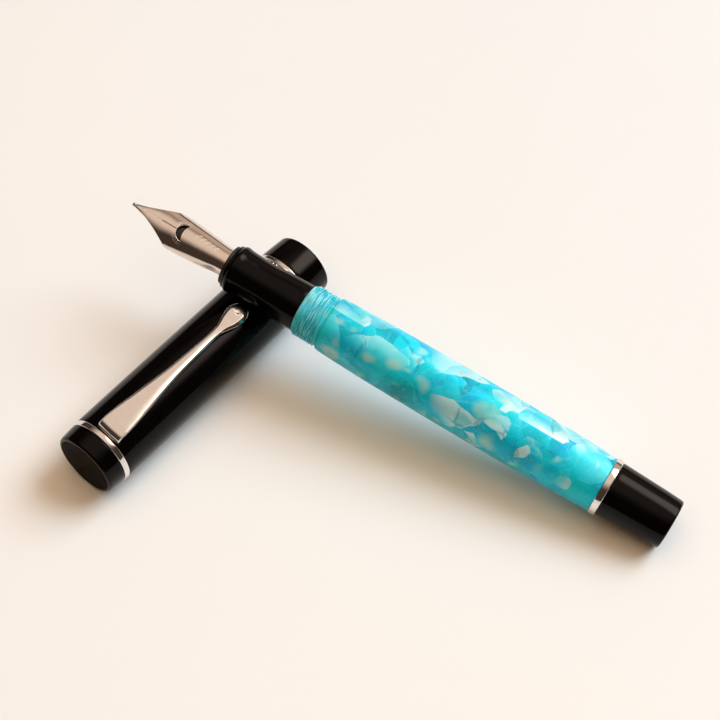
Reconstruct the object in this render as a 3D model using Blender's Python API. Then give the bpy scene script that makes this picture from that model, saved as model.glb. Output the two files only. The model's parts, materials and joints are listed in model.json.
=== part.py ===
"""Fountain pen lying uncapped across its own cap.

The cap lies on the table with its clip upwards. The pen leans on it: the grip
section crosses the cap near its mouth and the rear end touches the table.
Both are built of their real separate pieces: resin shells, metal trim, screw-in
nib unit and a screw converter. Units are metres, +Z is up, the table is Z = 0.
"""

import math

import bmesh
import bpy
from mathutils import Matrix, Vector

MM = 0.001

# ---------------------------------------------------------------- dimensions
SIDES = 32              # facets round the shells
SIDES_SMALL = 20        # facets round the inner pieces
GAP = 0.3               # room kept between neighbouring pieces

# pen, measured along its axis from the nib tip (mm)
PEN_LENGTH = 127.1
GRIP_FRONT = 24.3       # front edge of the grip section
GRIP_REAR = 41.1        # grip section meets the barrel
BARREL_REAR = 111.2
RING_FRONT, RING_REAR = 111.5, 112.9
RING_RADIUS = 6.25
BARREL_BORE = 4.9
TENON_RADIUS = 4.5      # threaded tenon of the grip section
GRIP_BORE = 4.15
COLLAR_RADIUS = 3.85    # nib housing
NIB_ROLL = 12.5         # turn of the nib about the pen axis (degrees)
NIB_SHEET = 0.4         # thickness of the nib
SLIT = 0.2              # width of the slit in the nib
REST_T, REST_R = 126.3, 5.38   # rear rim that touches the table

# thread on the front of the barrel
THREAD_START, THREAD_END = 41.9, 46.9
THREAD_RIDGES = 5
THREAD_ROOT, THREAD_CREST = 5.38, 5.72

# converter
CONVERTER_TUBE_R, CONVERTER_TUBE_BORE = 3.5, 2.9
PISTON_FRONT = 79.0

# cap, measured along its axis from the finial end (mm)
CAP_LENGTH = 66.3
CAP_RADIUS = 7.55
CAP_BORE = 6.15
BAND_RADIUS = 7.52
CLIP_TURN = 15.1        # turn of the clip about the cap axis (degrees)
CLIP_FOOT = 6.15        # position of the clip's foot
CLIP_PIVOT = (6.15, 7.6)

# arrangement
CAP_AZIMUTH = 79.62     # cap axis from +X (degrees)
CAP_DIP = 0.09          # fall of the cap axis towards its mouth (degrees)
CROSS_T, CROSS_S = 30.18, 49.79   # nearest points on the pen and cap axes
CROSS_DISTANCE = 12.72
PEN_OFFSET = (-63.36, 16.026)     # nib tip's axis point in plan


# ---------------------------------------------------------------- helpers
def material(name, colour, roughness, metallic=0.0, transmission=0.0):
    mat = bpy.data.materials.new(name)
    mat.use_nodes = True
    shader = mat.node_tree.nodes["Principled BSDF"]
    shader.inputs["Base Color"].default_value = (*colour, 1.0)
    shader.inputs["Roughness"].default_value = roughness
    shader.inputs["Metallic"].default_value = metallic
    shader.inputs["Transmission Weight"].default_value = transmission
    return mat


def empty(name, matrix, parent=None):
    obj = bpy.data.objects.new(name, None)
    obj.empty_display_size = 0.005
    bpy.context.scene.collection.objects.link(obj)
    obj.parent = parent
    obj.matrix_basis = matrix
    return obj


def finish(name, bm, mat, parent, matrix=None, sharp=30.0):
    """Turns a bmesh in millimetres into a named object in metres."""
    bmesh.ops.remove_doubles(bm, verts=bm.verts, dist=1e-4)
    bmesh.ops.recalc_face_normals(bm, faces=bm.faces)
    bmesh.ops.scale(bm, vec=(MM, MM, MM), verts=bm.verts)
    mesh = bpy.data.meshes.new(name)
    bm.to_mesh(mesh)
    bm.free()
    mesh.shade_smooth()
    mesh.set_sharp_from_angle(angle=math.radians(sharp))
    mesh.materials.append(mat)
    obj = bpy.data.objects.new(name, mesh)
    bpy.context.scene.collection.objects.link(obj)
    obj.parent = parent
    if matrix is not None:
        obj.matrix_basis = matrix
    return obj


def turned_mesh(profile, sides):
    """Spins a closed profile of (along, radius) points about the X axis."""
    bm = bmesh.new()
    verts = [bm.verts.new((x, 0.0, r)) for x, r in profile]
    edges = []
    for i, vert in enumerate(verts):
        j = (i + 1) % len(verts)
        if profile[i][1] > 0 or profile[j][1] > 0:
            edges.append(bm.edges.new((vert, verts[j])))
    bmesh.ops.spin(bm, geom=verts + edges, cent=(0, 0, 0), axis=(1, 0, 0),
                   angle=2 * math.pi, steps=sides, use_merge=True)
    bmesh.ops.remove_doubles(bm, verts=bm.verts, dist=1e-4)
    bmesh.ops.rotate(bm, cent=(0, 0, 0), verts=bm.verts,
                     matrix=Matrix.Rotation(math.pi / sides, 3, "X"))
    return bm


def turned(name, profile, mat, parent, sides=SIDES, origin=0.0):
    """Round piece on its parent's X axis; its own origin sits on that axis."""
    bm = turned_mesh([(x - origin, r) for x, r in profile], sides)
    return finish(name, bm, mat, parent,
                  Matrix.Translation((origin * MM, 0, 0)))


def lofted_mesh(rings):
    """Skins rings of equal point count and closes both ends."""
    bm = bmesh.new()
    rows = [[bm.verts.new(p) for p in ring] for ring in rings]
    for a, b in zip(rows, rows[1:]):
        n = len(a)
        for i in range(n):
            bm.faces.new((a[i], a[(i + 1) % n], b[(i + 1) % n], b[i]))
    bm.faces.new(rows[0])
    bm.faces.new(rows[-1])
    return bm


def cut(obj, cutter):
    """Boolean difference with a hidden wire cutter."""
    cutter.hide_render = True
    cutter.display_type = "WIRE"
    mod = obj.modifiers.new("cut_" + cutter.name, "BOOLEAN")
    mod.operation = "DIFFERENCE"
    mod.solver = "EXACT"
    mod.object = cutter


def between(table, x):
    """Linear reading of a table of (x, value...) rows."""
    for low, high in zip(table, table[1:]):
        if x <= high[0]:
            f = max(0.0, (x - low[0]) / (high[0] - low[0]))
            return [a + f * (b - a) for a, b in zip(low[1:], high[1:])]
    return list(table[-1][1:])


# ---------------------------------------------------------------- arrangement
def axis_vector(azimuth, fall):
    a, f = math.radians(azimuth), math.radians(fall)
    return Vector((math.cos(f) * math.cos(a), math.cos(f) * math.sin(a),
                   -math.sin(f)))


def lean_angle():
    """Lean of the pen at which its rim is on the table and its grip on the cap."""
    facet = math.cos(math.pi / SIDES)
    cap_axis = axis_vector(CAP_AZIMUTH, CAP_DIP)
    cap_z = cap_height() - CROSS_S * math.sin(math.radians(CAP_DIP))

    def error(lean):
        pen_axis = axis_vector(0, lean)
        normal = pen_axis.cross(cap_axis).normalized()
        s, c = math.sin(math.radians(lean)), math.cos(math.radians(lean))
        pen_z = (REST_T - CROSS_T) * s + REST_R * facet * c
        return pen_z - (cap_z + CROSS_DISTANCE * abs(normal.z))

    low, high = 2.0, 20.0
    for _ in range(60):
        mid = 0.5 * (low + high)
        if error(mid) < 0:
            low = mid
        else:
            high = mid
    return 0.5 * (low + high)


def cap_height():
    """Height of the cap axis at its finial end."""
    facet = math.cos(math.pi / SIDES)
    dip = math.sin(math.radians(CAP_DIP))
    return max(r * facet + s * dip for s, r in CAP_OUTLINE + [(59.25, BAND_RADIUS)])


def frame(origin, x_axis):
    """Frame with X on x_axis and Z as near upright as it can be."""
    x = x_axis.normalized()
    y = Vector((0, 0, 1)).cross(x).normalized()
    z = x.cross(y)
    m = Matrix((x, y, z)).transposed().to_4x4()
    m.translation = Vector(origin) * MM
    return m


# ---------------------------------------------------------------- outlines
CAP_OUTLINE = [(5.55, 7.40), (5.95, CAP_RADIUS), (13.0, 7.57), (34.0, 7.55),
               (44.0, 7.50), (53.4, 7.46), (53.7, 7.40)]

GRIP_OUTLINE = [(24.3, 4.78), (24.7, 4.86), (24.9, 5.08), (25.3, 5.16),
                (25.8, 5.12), (26.6, 4.97), (28.2, 4.90), (30.0, 4.81),
                (32.0, 4.79), (33.4, 4.87), (35.0, 5.00), (37.0, 5.10),
                (39.2, 5.17), (40.8, 5.17), (41.1, 5.08)]

BARREL_OUTLINE = [(47.2, 5.45), (47.5, 5.85), (48.2, 5.97), (50.0, 6.06),
                  (53.0, 6.17), (58.0, 6.33), (65.0, 6.41), (78.0, 6.47),
                  (88.0, 6.46), (95.0, 6.40), (101.0, 6.30), (106.0, 6.18),
                  (110.8, 6.02), (BARREL_REAR, 5.92)]

END_OUTLINE = [(113.2, 5.82), (113.5, 5.90), (119.0, 5.70), (123.6, 5.54),
               (REST_T, REST_R), (126.9, 5.15), (PEN_LENGTH, 4.75)]


def thread_outline():
    """Ridges of the barrel's cap thread, front to rear."""
    pitch = (THREAD_END - THREAD_START) / THREAD_RIDGES
    points = [(41.4, 5.12), (41.6, THREAD_ROOT)]
    for i in range(THREAD_RIDGES):
        x = THREAD_START + i * pitch
        points += [(x, THREAD_ROOT), (x + 0.38 * pitch, THREAD_CREST),
                   (x + 0.62 * pitch, THREAD_CREST)]
    points.append((THREAD_END, THREAD_ROOT))
    return points


# ---------------------------------------------------------------- nib shapes
# along the axis: crest height, half width, edge height, sheet allowance
NIB_TABLE = [
    (1.30, 2.82, 0.55, 2.66), (2.20, 2.93, 0.76, 2.75),
    (3.76, 3.04, 1.25, 2.84), (5.38, 3.12, 1.90, 2.76),
    (6.70, 3.15, 2.48, 2.58), (8.00, 3.18, 3.14, 2.30),
    (9.20, 3.20, 3.72, 1.72), (10.20, 3.21, 4.12, 1.08),
    (10.90, 3.21, 4.20, 0.86), (13.00, 3.21, 4.10, 0.74),
    (16.00, 3.22, 3.88, 0.62), (19.00, 3.22, 3.58, 0.60),
    (22.40, 3.22, 3.23, 0.58), (29.00, 3.22, 3.20, 0.58)]


def nib_arc(t, inset, count):
    """Points across the nib at t, left edge to right, inset below its surface."""
    crest, half, edge = between(NIB_TABLE, t)
    sag = crest - edge
    radius = (half * half + sag * sag) / (2 * sag)
    centre = crest - radius
    spread = math.atan2(half, edge - centre)
    points = []
    for i in range(count):
        a = -spread + 2 * spread * i / (count - 1)
        r = radius - inset
        points.append((r * math.sin(a), centre + r * math.cos(a)))
    return points


def nib_mesh():
    rings = []
    for t, *_ in NIB_TABLE:
        top = nib_arc(t, 0.0, 11)
        under = nib_arc(t, NIB_SHEET, 11)
        rings.append([(t, -a, b) for a, b in top + under[::-1]])
    return lofted_mesh(rings)


def crescent_mesh(centre, outer, shift, inner, low, high):
    """Upright crescent prism that opens to the rear."""
    half = math.acos((shift * shift + outer * outer - inner * inner)
                     / (2 * shift * outer))
    lip = math.pi - half
    points = []
    steps = 12
    for i in range(steps + 1):
        a = -lip + 2 * lip * i / steps
        points.append((centre - outer * math.cos(a), outer * math.sin(a)))
    tip_a = math.atan2(points[-1][1], centre + shift - points[-1][0])
    for i in range(1, steps):
        a = tip_a - 2 * tip_a * i / steps
        points.append((centre + shift - inner * math.cos(a),
                       inner * math.sin(a)))
    return lofted_mesh([[(x, y, low) for x, y in points],
                        [(x, y, high) for x, y in points]])


def feed_mesh():
    """Ink feed: fits under the nib, boat-shaped below."""
    keel = [(7.0, -1.75), (8.2, -0.9), (9.6, 0.2), (11.5, 1.4), (14.0, 2.3),
            (17.0, 2.8), (20.0, 3.0), (22.6, 3.1), (30.2, 3.1)]
    rings = []
    for t, depth in keel:
        upper = nib_arc(t, NIB_SHEET + 0.35, 9)
        limit = min(3.05, between(NIB_TABLE, t)[1] - 0.62)
        upper = [(max(-limit, min(limit, a)), b) for a, b in upper]
        half = upper[-1][0]
        edge = upper[-1][1]
        lower = []
        for i in range(1, 8):
            a = math.pi * i / 8
            lower.append((half * math.cos(a),
                          edge - (edge + depth) * math.sin(a)))
        rings.append([(t, -a, b) for a, b in upper + lower])
    return lofted_mesh(rings)


# ---------------------------------------------------------------- clip shape
# along the cap: centre-line radius, width, thickness
CLIP_TABLE = [
    (6.15, 6.50, 5.6, 1.2), (6.15, 7.30, 5.7, 1.2), (6.25, 7.95, 5.7, 1.2),
    (6.65, 8.36, 5.7, 1.15), (7.40, 8.50, 5.65, 1.1), (10.5, 8.58, 5.35, 1.1),
    (13.6, 8.64, 4.70, 1.1), (18.8, 8.74, 3.60, 1.1), (24.5, 8.82, 2.45, 1.1),
    (30.8, 8.86, 1.86, 1.1), (35.2, 8.84, 1.56, 1.1), (37.2, 8.80, 1.62, 1.1),
    (39.0, 8.76, 2.60, 1.1), (40.8, 8.70, 3.80, 1.1), (42.2, 8.64, 4.34, 1.05),
    (43.8, 8.58, 3.90, 0.95), (44.8, 8.52, 2.80, 0.85), (45.45, 8.46, 1.40, 0.7)]


def clip_mesh():
    rings = []
    n = len(CLIP_TABLE)
    for i, (s, r, width, thick) in enumerate(CLIP_TABLE):
        before = CLIP_TABLE[max(0, i - 1)]
        after = CLIP_TABLE[min(n - 1, i + 1)]
        along = Vector((after[0] - before[0], after[1] - before[1])).normalized()
        up = Vector((-along.y, along.x))
        w, h = width / 2, thick / 2
        shape = [(-w, -h), (w, -h), (w, 0.1 * h), (0.72 * w, 0.8 * h),
                 (0.0, h), (-0.72 * w, 0.8 * h), (-w, 0.1 * h)]
        rings.append([(s + up.x * b - CLIP_PIVOT[0], a,
                       r + up.y * b - CLIP_PIVOT[1]) for a, b in shape])
    return lofted_mesh(rings)


# ---------------------------------------------------------------- build
def build_cap(cap, black, chrome):
    turned("cap_finial", [
        (0.0, 0.0), (0.0, 6.65), (0.25, 7.02), (0.8, 7.20), (2.4, 7.30),
        (3.4, 7.36), (3.7, 7.22), (3.7, 2.0), (10.4, 2.0), (10.4, 0.0)],
        black, cap)
    turned("cap_ring", [
        (4.0, 2.3), (4.0, 7.38), (4.15, 7.55), (5.1, 7.55), (5.25, 7.38),
        (5.25, 2.3)], chrome, cap)
    tube = turned("cap_tube", [
        (5.55, 2.3)] + CAP_OUTLINE + [
        (53.7, 6.55), (62.2, 6.55), (62.2, CAP_BORE), (8.5, CAP_BORE),
        (8.5, 2.3)], black, cap)
    slot = finish("clip_slot", lofted_mesh([
        [(x, y, z) for y, z in ((-3.1, 6.2), (3.1, 6.2), (3.1, 8.6), (-3.1, 8.6))]
        for x in (4.5, 7.1)]), black, cap,
        Matrix.Rotation(math.radians(CLIP_TURN), 4, "X"))
    cut(tube, slot)
    turned("cap_inner_cap", [
        (8.8, 2.3), (8.8, 5.6), (9.1, 5.85), (41.0, 5.85), (41.3, 5.6),
        (41.3, 4.75), (10.8, 4.75), (10.8, 2.3)], black, cap, SIDES_SMALL)
    turned("cap_band", [
        (54.0, 6.85), (54.0, 7.42), (54.15, BAND_RADIUS),
        (59.25, BAND_RADIUS),
        (59.4, 7.42), (59.4, 6.85)], chrome, cap)
    turned("cap_lip", [
        (59.7, 6.85), (59.7, 7.22), (60.1, 7.24), (63.5, 7.08), (65.9, 6.92),
        (CAP_LENGTH, 6.70), (CAP_LENGTH, 6.3), (66.0, CAP_BORE),
        (62.5, CAP_BORE), (62.5, 6.85)], black, cap)
    turn = Matrix.Rotation(math.radians(CLIP_TURN), 4, "X")
    pivot = empty("clip_hinge", turn @ Matrix.Translation(
        (CLIP_PIVOT[0] * MM, 0, CLIP_PIVOT[1] * MM)), cap)
    finish("clip", clip_mesh(), chrome, pivot, sharp=35)


def build_pen(pen, mats):
    black, chrome, resin = mats["black"], mats["chrome"], mats["resin"]
    turned("barrel", [(41.4, BARREL_BORE)] + thread_outline()
           + BARREL_OUTLINE + [(BARREL_REAR, BARREL_BORE)], resin, pen,
           origin=GRIP_REAR)
    turned("barrel_ring", [
        (RING_FRONT, BARREL_BORE), (RING_FRONT, 6.1),
        (RING_FRONT + 0.2, RING_RADIUS), (RING_REAR - 0.2, RING_RADIUS),
        (RING_REAR, 6.1), (RING_REAR, BARREL_BORE)], chrome, pen,
        origin=GRIP_REAR)
    turned("barrel_end", [
        (103.6, 3.95), (103.6, 4.4), (103.9, 4.6), (113.2, 4.6)]
        + END_OUTLINE + [
        (PEN_LENGTH, 0.0), (121.5, 0.0), (121.5, 3.95)], black, pen,
        origin=GRIP_REAR)


def build_section(section, mats):
    turned("grip_section", [(GRIP_FRONT, GRIP_BORE)] + GRIP_OUTLINE + [
        (41.1, 4.3), (41.7, 4.3), (42.0, TENON_RADIUS), (49.4, TENON_RADIUS),
        (49.7, 4.3), (49.7, 3.95), (40.3, 3.95), (40.0, GRIP_BORE)],
        mats["black"], section)


def build_nib_unit(unit, mats):
    turned("nib_collar", [
        (23.3, 3.5), (23.3, 4.1), (23.5, 4.26), (24.0, 4.26),
        (24.0, COLLAR_RADIUS), (37.6, COLLAR_RADIUS), (38.0, 3.5), (38.0, 1.9),
        (43.6, 1.9), (44.0, 1.6), (44.0, 0.8), (30.5, 0.8), (30.5, 3.5)],
        mats["matt"], unit, SIDES_SMALL)
    roll = Matrix.Rotation(math.radians(NIB_ROLL), 4, "X")
    nib = finish("nib", nib_mesh(), mats["steel"], unit, roll, 40)
    slit = finish("nib_slit", lofted_mesh([
        [(x, y, z) for y, z in ((-SLIT / 2, 1.0), (SLIT / 2, 1.0),
                                (SLIT / 2, 5.0), (-SLIT / 2, 5.0))]
        for x in (0.5, 12.0)]), mats["steel"], unit, roll)
    cut(nib, slit)
    hole = finish("breather_hole", crescent_mesh(12.9, 1.75, 1.05, 1.45,
                                                 1.0, 5.0),
                  mats["steel"], unit, roll)
    cut(nib, hole)
    ball = turned_mesh([
        (0.02, 0.0), (0.10, 0.28), (0.35, 0.46), (0.65, 0.46), (0.92, 0.34),
        (1.0, 0.0)], 12)
    finish("nib_tipping", ball, mats["steel"], unit,
           roll @ Matrix.Translation((0, 0, 2.55 * MM)))
    finish("feed", feed_mesh(), mats["matt"], unit, roll, 40)


def build_converter(converter, knob, piston, mats):
    turned("converter_mouth", [
        (38.7, 2.2), (38.7, 3.35), (39.0, 3.6), (47.7, 3.6), (48.0, 3.45),
        (48.0, 2.6), (51.0, 2.6), (51.0, 1.3), (44.4, 1.3), (44.4, 2.2)],
        mats["matt"], converter, SIDES_SMALL)
    turned("converter_tube", [
        (48.3, CONVERTER_TUBE_BORE), (48.3, CONVERTER_TUBE_R),
        (83.7, CONVERTER_TUBE_R), (83.7, CONVERTER_TUBE_BORE)],
        mats["clear"], converter, SIDES_SMALL)
    turned("converter_ferrule", [
        (84.0, 1.35), (84.0, 3.5), (84.3, 3.75), (95.6, 3.75), (96.0, 3.5),
        (96.0, 3.0), (88.4, 3.0), (88.4, 1.35)],
        mats["chrome"], converter, SIDES_SMALL)
    turned("converter_knob", [
        (88.7, 1.35), (88.7, 2.7), (96.3, 2.7), (96.3, 3.2), (96.6, 3.45),
        (109.6, 3.45), (110.0, 3.1), (110.0, 0.0), (109.2, 0.0),
        (109.2, 1.35)],
        mats["matt"], knob, SIDES_SMALL)
    turned("converter_piston", [
        (PISTON_FRONT, 0.0), (PISTON_FRONT, 1.6), (79.6, 2.58), (80.4, 2.58),
        (80.8, 2.3), (81.8, 2.3), (82.2, 2.58), (83.0, 2.58), (83.0, 0.0)],
        mats["seal"], piston, SIDES_SMALL)
    turned("converter_rod", [
        (83.3, 0.0), (83.3, 1.0), (108.7, 1.0), (108.7, 0.0)],
        mats["matt"], piston, 12)


def main():
    for obj in list(bpy.data.objects):
        bpy.data.objects.remove(obj, do_unlink=True)

    mats = {
        "black": material("black_resin", (0.012, 0.010, 0.010), 0.12),
        "resin": material("turquoise_resin", (0.02, 0.50, 0.58), 0.12),
        "chrome": material("chrome", (0.78, 0.76, 0.74), 0.08, 1.0),
        "steel": material("nib_steel", (0.66, 0.62, 0.57), 0.15, 1.0),
        "matt": material("black_moulding", (0.02, 0.02, 0.02), 0.45),
        "clear": material("clear_plastic", (0.9, 0.93, 0.93), 0.08, 0.0, 0.9),
        "seal": material("seal_rubber", (0.03, 0.03, 0.03), 0.6),
    }

    lean = lean_angle()
    pen_axis = axis_vector(0, lean)
    cap_axis = axis_vector(CAP_AZIMUTH, CAP_DIP)
    facet = math.cos(math.pi / SIDES)
    tip_z = (REST_T * math.sin(math.radians(lean))
             + REST_R * facet * math.cos(math.radians(lean)))
    tip = Vector((*PEN_OFFSET, tip_z))
    normal = pen_axis.cross(cap_axis).normalized()
    crossing = tip + pen_axis * CROSS_T - normal * CROSS_DISTANCE
    cap_origin = crossing - cap_axis * CROSS_S

    pen = empty("pen_axis", frame(tip, pen_axis))
    section = empty("section_slide", Matrix.Identity(4), pen)
    unit = empty("nib_unit_slide", Matrix.Identity(4), section)
    converter = empty("converter_slide", Matrix.Identity(4), section)
    knob = empty("knob_hinge", Matrix.Identity(4), converter)
    piston = empty("piston_slide", Matrix.Identity(4), converter)
    cap = empty("cap_axis", frame(cap_origin, cap_axis))

    build_cap(cap, mats["black"], mats["chrome"])
    build_pen(pen, mats)
    build_section(section, mats)
    build_nib_unit(unit, mats)
    build_converter(converter, knob, piston, mats)
    bpy.context.view_layer.update()


main()
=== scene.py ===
import json
import math

import bmesh
import bpy
import numpy as np
from mathutils import Matrix, Vector
from mathutils.geometry import delaunay_2d_cdt


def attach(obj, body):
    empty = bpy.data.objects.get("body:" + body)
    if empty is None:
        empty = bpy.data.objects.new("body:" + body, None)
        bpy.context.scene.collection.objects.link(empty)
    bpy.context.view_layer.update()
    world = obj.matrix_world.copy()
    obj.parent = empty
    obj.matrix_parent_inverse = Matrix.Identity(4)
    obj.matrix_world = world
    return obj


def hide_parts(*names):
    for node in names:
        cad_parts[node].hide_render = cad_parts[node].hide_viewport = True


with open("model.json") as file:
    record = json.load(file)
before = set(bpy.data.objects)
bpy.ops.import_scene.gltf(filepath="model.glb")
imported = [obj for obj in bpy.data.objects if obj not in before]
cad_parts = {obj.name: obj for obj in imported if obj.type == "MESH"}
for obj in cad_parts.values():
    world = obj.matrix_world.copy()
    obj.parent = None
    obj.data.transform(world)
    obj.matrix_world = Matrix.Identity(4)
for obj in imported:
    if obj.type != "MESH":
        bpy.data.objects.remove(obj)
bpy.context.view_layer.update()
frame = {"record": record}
RECORD = frame["record"]
MM = 0.001


# ------------------------------------------------------------------ frames
def axis_frame(origin, x_axis):
    x = Vector(x_axis).normalized()
    y = Vector((0, 0, 1)).cross(x).normalized()
    z = x.cross(y)
    m = Matrix((x, y, z)).transposed().to_4x4()
    m.translation = Vector(origin)
    return m


MOUNTS = {m["name"]: m for m in RECORD["mounts"]}
PEN_LENGTH = 127.1
_end = MOUNTS["barrel_end_face"]
_pen_axis = Vector(_end["axis"]).normalized()
PEN = axis_frame(Vector(_end["pos_m"]) - _pen_axis * PEN_LENGTH * MM, _pen_axis)
_fin = MOUNTS["finial_end_face"]
CAP = axis_frame(Vector(_fin["pos_m"]), -Vector(_fin["axis"]))
NIB_ROLL = 12.5
CLIP_TURN = 15.1


def rolled(m, degrees):
    return m @ Matrix.Rotation(math.radians(degrees), 4, "X")


# ------------------------------------------------------------------ curves
def catmull(points, per=8, keep_ends=True):
    """Smooth curve through points of any dimension."""
    p = [np.array(q, float) for q in points]
    p = [2 * p[0] - p[1]] + p + [2 * p[-1] - p[-2]]
    out = []
    for i in range(1, len(p) - 2):
        a, b, c, d = p[i - 1], p[i], p[i + 1], p[i + 2]
        for k in range(per):
            t = k / per
            out.append(0.5 * (2 * b + (c - a) * t + (2 * a - 5 * b + 4 * c - d) * t * t
                              + (3 * b - a - 3 * c + d) * t ** 3))
    out.append(p[-2])
    return [tuple(map(float, q)) for q in out]


def rounded(points, closed=True, steps=5):
    """Points are (x, r) or (x, r, fillet): corners with a fillet become arcs."""
    out = []
    n = len(points)
    for i, pt in enumerate(points):
        fillet = pt[2] if len(pt) > 2 else 0.0
        p = Vector(pt[:2])
        if fillet <= 0 or (not closed and i in (0, n - 1)):
            out.append(tuple(p))
            continue
        a = Vector(points[i - 1][:2]) - p
        b = Vector(points[(i + 1) % n][:2]) - p
        cut = min(fillet, 0.49 * a.length, 0.49 * b.length)
        pa = p + a.normalized() * cut
        pb = p + b.normalized() * cut
        for k in range(steps + 1):
            t = k / steps
            q = pa * (1 - t) ** 2 + p * (2 * t * (1 - t)) + pb * t * t
            out.append(tuple(q))
    return out


def table_at(table, x):
    """Smooth (monotone cubic) reading of a table of rows (x, values...)."""
    xs = [row[0] for row in table]
    x = min(max(x, xs[0]), xs[-1])
    i = max(0, min(len(xs) - 2, int(np.searchsorted(xs, x)) - 1))
    h = xs[i + 1] - xs[i]
    t = (x - xs[i]) / h
    out = []
    for c in range(1, len(table[0])):
        def slope(k):
            if k <= 0 or k >= len(xs) - 1:
                j = 0 if k <= 0 else len(xs) - 2
                return (table[j + 1][c] - table[j][c]) / (xs[j + 1] - xs[j])
            d0 = (table[k][c] - table[k - 1][c]) / (xs[k] - xs[k - 1])
            d1 = (table[k + 1][c] - table[k][c]) / (xs[k + 1] - xs[k])
            return 0.0 if d0 * d1 <= 0 else 2 * d0 * d1 / (d0 + d1)
        y0, y1 = table[i][c], table[i + 1][c]
        m0, m1 = slope(i) * h, slope(i + 1) * h
        out.append((2 * t ** 3 - 3 * t ** 2 + 1) * y0 + (t ** 3 - 2 * t ** 2 + t) * m0
                   + (-2 * t ** 3 + 3 * t ** 2) * y1 + (t ** 3 - t ** 2) * m1)
    return out


# ------------------------------------------------------------------ meshes
def make(name, verts, faces, matrix, mat, body, replaced=(),
         sharp=32.0, smooth=True, merge=True, roll=0.0, bake=False):
    """Mesh in millimetres on a local frame, riding on a body."""
    mesh = bpy.data.meshes.new(name)
    if roll:
        turn = Matrix.Rotation(math.radians(roll), 3, "X")
        verts = [tuple(turn @ Vector(v)) for v in verts]
    if bake:
        verts = [tuple((matrix @ (Vector(v) * MM)) / MM) for v in verts]
        matrix = Matrix.Identity(4)
    mesh.from_pydata([(x * MM, y * MM, z * MM) for x, y, z in verts], [], faces)
    bm = bmesh.new()
    bm.from_mesh(mesh)
    if merge:
        bmesh.ops.remove_doubles(bm, verts=bm.verts, dist=1e-8)
        bmesh.ops.dissolve_degenerate(bm, edges=bm.edges, dist=1e-8)
    bmesh.ops.recalc_face_normals(bm, faces=bm.faces)
    bm.to_mesh(mesh)
    bm.free()
    if smooth:
        mesh.shade_smooth()
        mesh.set_sharp_from_angle(angle=math.radians(sharp))
    obj = bpy.data.objects.new(name, mesh)
    bpy.context.scene.collection.objects.link(obj)
    obj.matrix_world = matrix
    obj.data.materials.append(mat)
    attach(obj, body)
    if replaced:
        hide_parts(*replaced)
    return obj


def lathe(name, loop, matrix, mat, body, replaced=(), steps=128,
          radial=None, sharp=32.0, bake=False):
    """Turns a closed (x, r) loop. radial(i, x, r, angle) may change a radius."""
    verts, faces, rows = [], [], []
    for i, (x, r) in enumerate(loop):
        if r < 1e-6:
            rows.append([len(verts)] * steps)
            verts.append((x, 0.0, 0.0))
            continue
        row = []
        for k in range(steps):
            a = 2 * math.pi * k / steps
            rr = radial(i, x, r, a) if radial else r
            row.append(len(verts))
            verts.append((x, rr * math.sin(a), rr * math.cos(a)))
        rows.append(row)
    n = len(rows)
    for i in range(n):
        a, b = rows[i], rows[(i + 1) % n]
        if loop[i][1] < 1e-6 and loop[(i + 1) % n][1] < 1e-6:
            continue
        for k in range(steps):
            j = (k + 1) % steps
            quad = [a[k], a[j], b[j], b[k]]
            face = []
            for v in quad:
                if v not in face:
                    face.append(v)
            if len(face) > 2:
                faces.append(face)
    return make(name, verts, faces, matrix, mat, body, replaced, sharp, bake=bake)


def loft(name, rings, matrix, mat, body, replaced=(), sharp=32.0, roll=0.0):
    verts, faces = [], []
    n = len(rings[0])
    for ring in rings:
        verts.extend(ring)
    for i in range(len(rings) - 1):
        a, b = i * n, (i + 1) * n
        for k in range(n):
            j = (k + 1) % n
            faces.append([a + k, a + j, b + j, b + k])
    faces.append(list(range(n)))
    faces.append(list(range((len(rings) - 1) * n, len(rings) * n)))
    return make(name, verts, faces, matrix, mat, body, replaced, sharp, roll=roll)


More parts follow.
